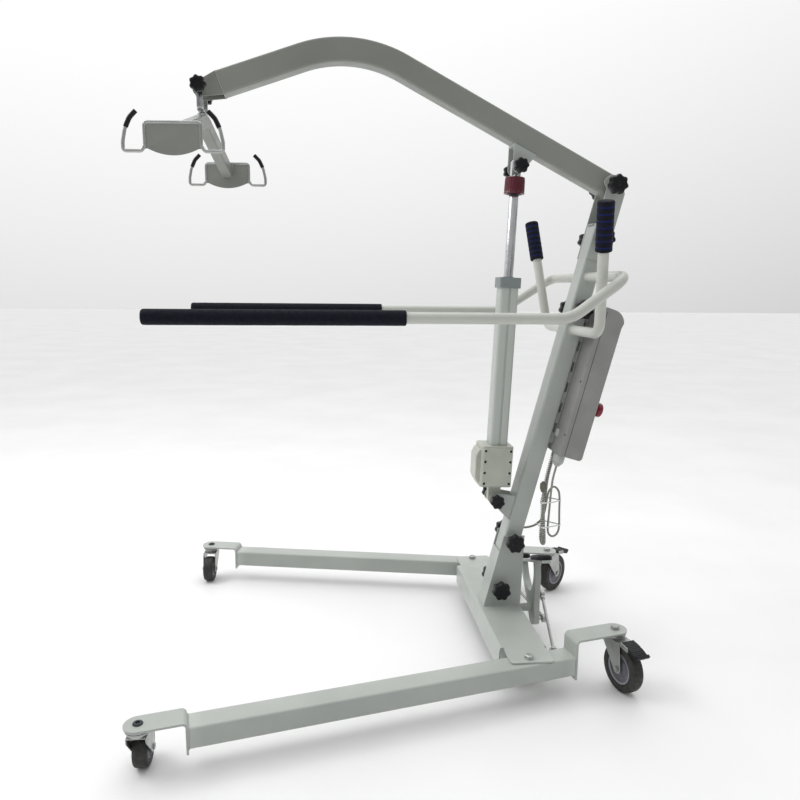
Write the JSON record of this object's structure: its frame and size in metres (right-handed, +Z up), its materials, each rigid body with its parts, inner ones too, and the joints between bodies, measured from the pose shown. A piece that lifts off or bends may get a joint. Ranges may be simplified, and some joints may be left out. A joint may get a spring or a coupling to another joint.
{
  "type": "patient lift hoist",
  "caption": "Wheeled patient hoist: spreading legs on casters, leaning mast, curved lifting boom on an electric actuator, spreader bar with sling hooks, walking-support arms and push handles.",
  "frame": {"origin": "on the floor under the middle of the hoist's overall length and width, legs open and boom raised", "axes": "+Z up; +X from the spreader bar toward the push handles; +Y the hoist's right side, so -Y is the side seen nearest in the picture"},
  "size_m": [1.2951, 1.1062, 1.6534],
  "materials": {
    "black_plastic": "moulded black",
    "boom_paint": "satin light grey powder coat",
    "box_plastic": "fine textured grey",
    "cable_grey": "cable sheath",
    "chrome": "polished",
    "cream_plastic": "moulded cream",
    "foam": "closed cell foam",
    "frame_paint": "satin light grey powder coat",
    "grey_plastic": "moulded grey",
    "maroon_plastic": "moulded maroon",
    "red_plastic": "moulded red",
    "tyre_rubber": "smooth tread",
    "zinc": "bright zinc plate"
  },
  "bodies": {
    "frame": {"cross_member": "frame_paint", "mast_socket": "frame_paint", "left_pivot_bolt": "zinc", "right_pivot_bolt": "zinc", "mast_tube": "frame_paint", "mast_yoke": "frame_paint", "base_lower_knobs": "black_plastic", "base_upper_knobs": "black_plastic", "clamp_knobs": "black_plastic", "yoke_knobs": "black_plastic", "boom_pivot_knobs": "black_plastic", "actuator_lower_bracket": "frame_paint", "actuator_lower_knobs": "black_plastic", "walking_frame": "frame_paint", "left_arm_grip": "foam", "right_arm_grip": "foam", "left_push_handle": "frame_paint", "right_push_handle": "frame_paint", "left_push_grip": "foam", "right_push_grip": "foam", "control_box": "box_plastic", "cable_gland": "box_plastic", "motor_cable": "cable_grey", "handset_cord": "cable_grey", "handset_plug": "grey_plastic"},
    "left_leg_assembly": {"left_leg": "frame_paint", "left_front_bracket": "frame_paint", "left_rear_bracket": "frame_paint"},
    "left_tie_link": {"left_tie_rod": "zinc"},
    "left_front_swivel": {"left_front_fork": "zinc"},
    "left_front_roller": {"left_front_wheel": "tyre_rubber"},
    "left_rear_swivel": {"left_rear_fork": "zinc"},
    "left_rear_roller": {"left_rear_wheel": "tyre_rubber"},
    "left_rear_brake": {"left_rear_brake_pedal": "black_plastic"},
    "right_leg_assembly": {"right_leg": "frame_paint", "right_front_bracket": "frame_paint", "right_rear_bracket": "frame_paint"},
    "right_tie_link": {"right_tie_rod": "zinc"},
    "right_front_swivel": {"right_front_fork": "zinc"},
    "right_front_roller": {"right_front_wheel": "tyre_rubber"},
    "right_rear_swivel": {"right_rear_fork": "zinc"},
    "right_rear_roller": {"right_rear_wheel": "tyre_rubber"},
    "right_rear_brake": {"right_rear_brake_pedal": "black_plastic"},
    "pedal": {"pedal_rocker": "frame_paint", "left_pedal_pad": "black_plastic", "right_pedal_pad": "black_plastic"},
    "boom_assembly": {"boom": "boom_paint", "boom_lug": "frame_paint", "actuator_upper_knob_left": "black_plastic", "actuator_upper_knob_right": "black_plastic", "boom_tip_knobs": "black_plastic"},
    "actuator_barrel": {"actuator_gearbox": "cream_plastic", "actuator_tube": "frame_paint"},
    "actuator_rod": {"piston_rod": "chrome", "quick_release_collar": "maroon_plastic"},
    "hanger": {"hanger_link": "chrome"},
    "spreader": {"spreader_beam": "boom_paint", "left_hook_frame": "boom_paint", "right_hook_frame": "boom_paint"},
    "stop_button": {"emergency_stop_button": "red_plastic"}
  },
  "joints": [
    {"name": "left_leg_spread", "type": "hinge", "parent": "frame", "child": "left_leg_assembly", "pos_m": [0.3014, -0.331, 0.08], "axis": [0, 0, 1], "range_deg": [-12, 0]},
    {"name": "left_front_caster_swivel", "type": "hinge", "parent": "left_leg_assembly", "child": "left_front_swivel", "pos_m": [-0.60241, -0.52311, 0.113], "axis": [0, 0, 1], "continuous": true},
    {"name": "left_front_wheel_spin", "type": "hinge", "parent": "left_front_swivel", "child": "left_front_roller", "pos_m": [-0.60241, -0.48911, 0.042], "axis": [-1, 0, 0], "continuous": true},
    {"name": "left_rear_caster_swivel", "type": "hinge", "parent": "left_leg_assembly", "child": "left_rear_swivel", "pos_m": [0.5474, -0.27871, 0.145], "axis": [0, 0, 1], "continuous": true},
    {"name": "left_rear_wheel_spin", "type": "hinge", "parent": "left_rear_swivel", "child": "left_rear_roller", "pos_m": [0.55776, -0.31735, 0.0625], "axis": [0.9659, 0.2588, 0], "continuous": true},
    {"name": "left_rear_brake_press", "type": "hinge", "parent": "left_rear_swivel", "child": "left_rear_brake", "pos_m": [0.55957, -0.32411, 0.1325], "axis": [0.9659, 0.2588, 0], "range_deg": [0, 6]},
    {"name": "left_tie_rod_swing", "type": "hinge", "parent": "left_leg_assembly", "child": "left_tie_link", "pos_m": [0.38741, -0.26671, 0.0905], "axis": [0, 0, 1], "range_deg": [0, 14.5]},
    {"name": "right_leg_spread", "type": "hinge", "parent": "frame", "child": "right_leg_assembly", "pos_m": [0.3014, 0.331, 0.08], "axis": [0, 0, 1], "range_deg": [0, 12]},
    {"name": "right_front_caster_swivel", "type": "hinge", "parent": "right_leg_assembly", "child": "right_front_swivel", "pos_m": [-0.60241, 0.52311, 0.113], "axis": [0, 0, 1], "continuous": true},
    {"name": "right_front_wheel_spin", "type": "hinge", "parent": "right_front_swivel", "child": "right_front_roller", "pos_m": [-0.60537, 0.48924, 0.042], "axis": [0.9962, -0.0872, 0], "continuous": true},
    {"name": "right_rear_caster_swivel", "type": "hinge", "parent": "right_leg_assembly", "child": "right_rear_swivel", "pos_m": [0.5474, 0.27871, 0.145], "axis": [0, 0, 1], "continuous": true},
    {"name": "right_rear_wheel_spin", "type": "hinge", "parent": "right_rear_swivel", "child": "right_rear_roller", "pos_m": [0.57805, 0.30442, 0.0625], "axis": [-0.6428, 0.766, 0], "continuous": true},
    {"name": "right_rear_brake_press", "type": "hinge", "parent": "right_rear_swivel", "child": "right_rear_brake", "pos_m": [0.58341, 0.30892, 0.1325], "axis": [-0.6428, 0.766, 0], "range_deg": [0, 6]},
    {"name": "right_tie_rod_swing", "type": "hinge", "parent": "right_leg_assembly", "child": "right_tie_link", "pos_m": [0.38741, 0.26671, 0.0905], "axis": [0, 0, 1], "range_deg": [-14.5, 0]},
    {"name": "pedal_rock", "type": "hinge", "parent": "frame", "child": "pedal", "pos_m": [0.4164, 0, 0.085], "axis": [1, 0, 0], "range_deg": [0, 28.6]},
    {"name": "boom_lift", "type": "hinge", "parent": "frame", "child": "boom_assembly", "pos_m": [0.5784, 0, 1.305], "axis": [0, 1, 0], "range_deg": [-45, 3]},
    {"name": "actuator_tilt", "type": "hinge", "parent": "frame", "child": "actuator_barrel", "pos_m": [0.2814, 0, 0.43], "axis": [0, 1, 0], "range_deg": [-0.5, 4.5]},
    {"name": "piston_extend", "type": "slide", "parent": "actuator_barrel", "child": "actuator_rod", "axis": [0.037, 0, 0.9993], "range_m": [-0.196, 0.014]},
    {"name": "hanger_tilt", "type": "hinge", "parent": "boom_assembly", "child": "hanger", "pos_m": [-0.5066, 0, 1.5145], "axis": [0, 1, 0], "range_deg": [-3.1, 45.1]},
    {"name": "spreader_swivel", "type": "hinge", "parent": "hanger", "child": "spreader", "pos_m": [-0.5066, 0, 1.456], "axis": [0, 0, 1], "continuous": true},
    {"name": "stop_button_press", "type": "slide", "parent": "frame", "child": "stop_button", "axis": [-0.9692, 0, 0.2462], "range_m": [0, 0.004], "stiffness_N_per_m": 900, "springref_m": -0.002}
  ],
  "couplings": [
    {"joint": "right_leg_spread", "follows": "left_leg_spread", "ratio": -1},
    {"joint": "pedal_rock", "follows": "left_leg_spread", "ratio": -2.375},
    {"joint": "left_tie_rod_swing", "follows": "left_leg_spread", "ratio": -1.197},
    {"joint": "right_tie_rod_swing", "follows": "left_leg_spread", "ratio": 1.197},
    {"joint": "actuator_tilt", "follows": "boom_lift", "ratio": -0.09496},
    {"joint": "piston_extend", "follows": "boom_lift", "m_per_rad": 0.24789},
    {"joint": "hanger_tilt", "follows": "boom_lift", "ratio": -1}
  ]
}
